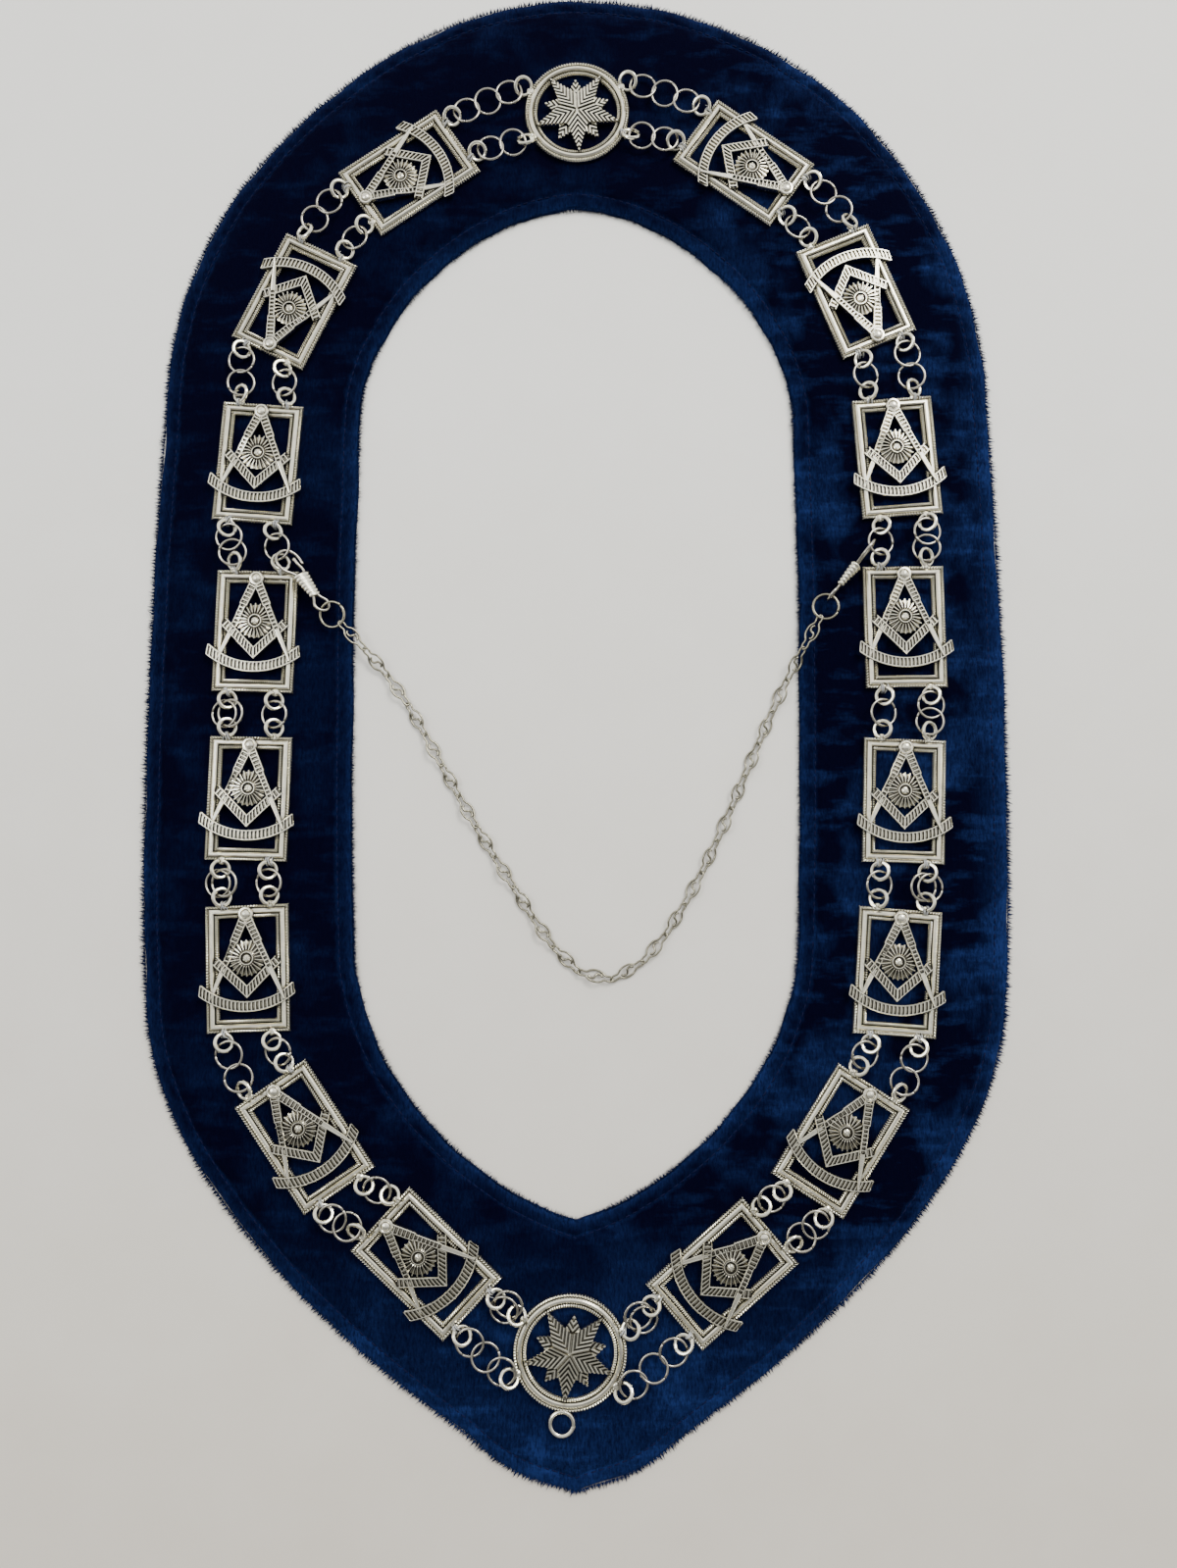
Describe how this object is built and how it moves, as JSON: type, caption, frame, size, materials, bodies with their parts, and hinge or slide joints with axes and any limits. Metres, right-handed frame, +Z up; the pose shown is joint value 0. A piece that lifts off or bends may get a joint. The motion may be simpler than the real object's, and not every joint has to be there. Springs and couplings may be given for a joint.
{
  "type": "masonic chain collar",
  "caption": "Chain collar of office: pierced cast plates and two star medallions linked by jump rings over a velvet band, with a loose clasped chain across the neck.",
  "frame": {"origin": "under the middle of the velvet band, on the surface that it lies on", "axes": "+Y to the back of the neck, where the top medallion is, +Z up from the surface"},
  "size_m": [0.2992, 0.5268, 0.0128],
  "materials": {
    "velvet": "deep navy cotton velvet with a short pile",
    "metal": "silver-coloured plating, rubbed bright on the ridges and dark in the recesses",
    "thread": "pale sewing thread"
  },
  "bodies": {
    "root": {"velvet_collar": "velvet", "top_medallion": "metal", "plate_left_1": "metal", "plate_left_2": "metal", "plate_left_3": "metal", "plate_left_4": "metal", "plate_left_5": "metal", "plate_left_6": "metal", "plate_left_7": "metal", "plate_left_8": "metal", "plate_right_1": "metal", "plate_right_2": "metal", "plate_right_3": "metal", "plate_right_4": "metal", "plate_right_5": "metal", "plate_right_6": "metal", "plate_right_7": "metal", "plate_right_8": "metal", "bottom_medallion": "metal", "links_left_0_outer": "metal", "links_left_0_inner": "metal", "links_left_1_outer": "metal", "links_left_1_inner": "metal", "links_left_2_outer": "metal", "links_left_2_inner": "metal", "links_left_3_outer": "metal", "links_left_3_inner": "metal", "links_left_4_outer": "metal", "links_left_4_inner": "metal", "links_left_5_outer": "metal", "links_left_5_inner": "metal", "links_left_6_outer": "metal", "links_left_6_inner": "metal", "links_left_7_outer": "metal", "links_left_7_inner": "metal", "links_left_8_outer": "metal", "links_left_8_inner": "metal", "links_right_0_outer": "metal", "links_right_0_inner": "metal", "links_right_1_outer": "metal", "links_right_1_inner": "metal", "links_right_2_outer": "metal", "links_right_2_inner": "metal", "links_right_3_outer": "metal", "links_right_3_inner": "metal", "links_right_4_outer": "metal", "links_right_4_inner": "metal", "links_right_5_outer": "metal", "links_right_5_inner": "metal", "links_right_6_outer": "metal", "links_right_6_inner": "metal", "links_right_7_outer": "metal", "links_right_7_inner": "metal", "links_right_8_outer": "metal", "links_right_8_inner": "metal", "clasp_wire_left": "metal", "clasp_sleeve_left": "metal", "clasp_wire_right": "metal", "clasp_sleeve_right": "metal", "centre_chain": "metal"}
  },
  "joints": []
}
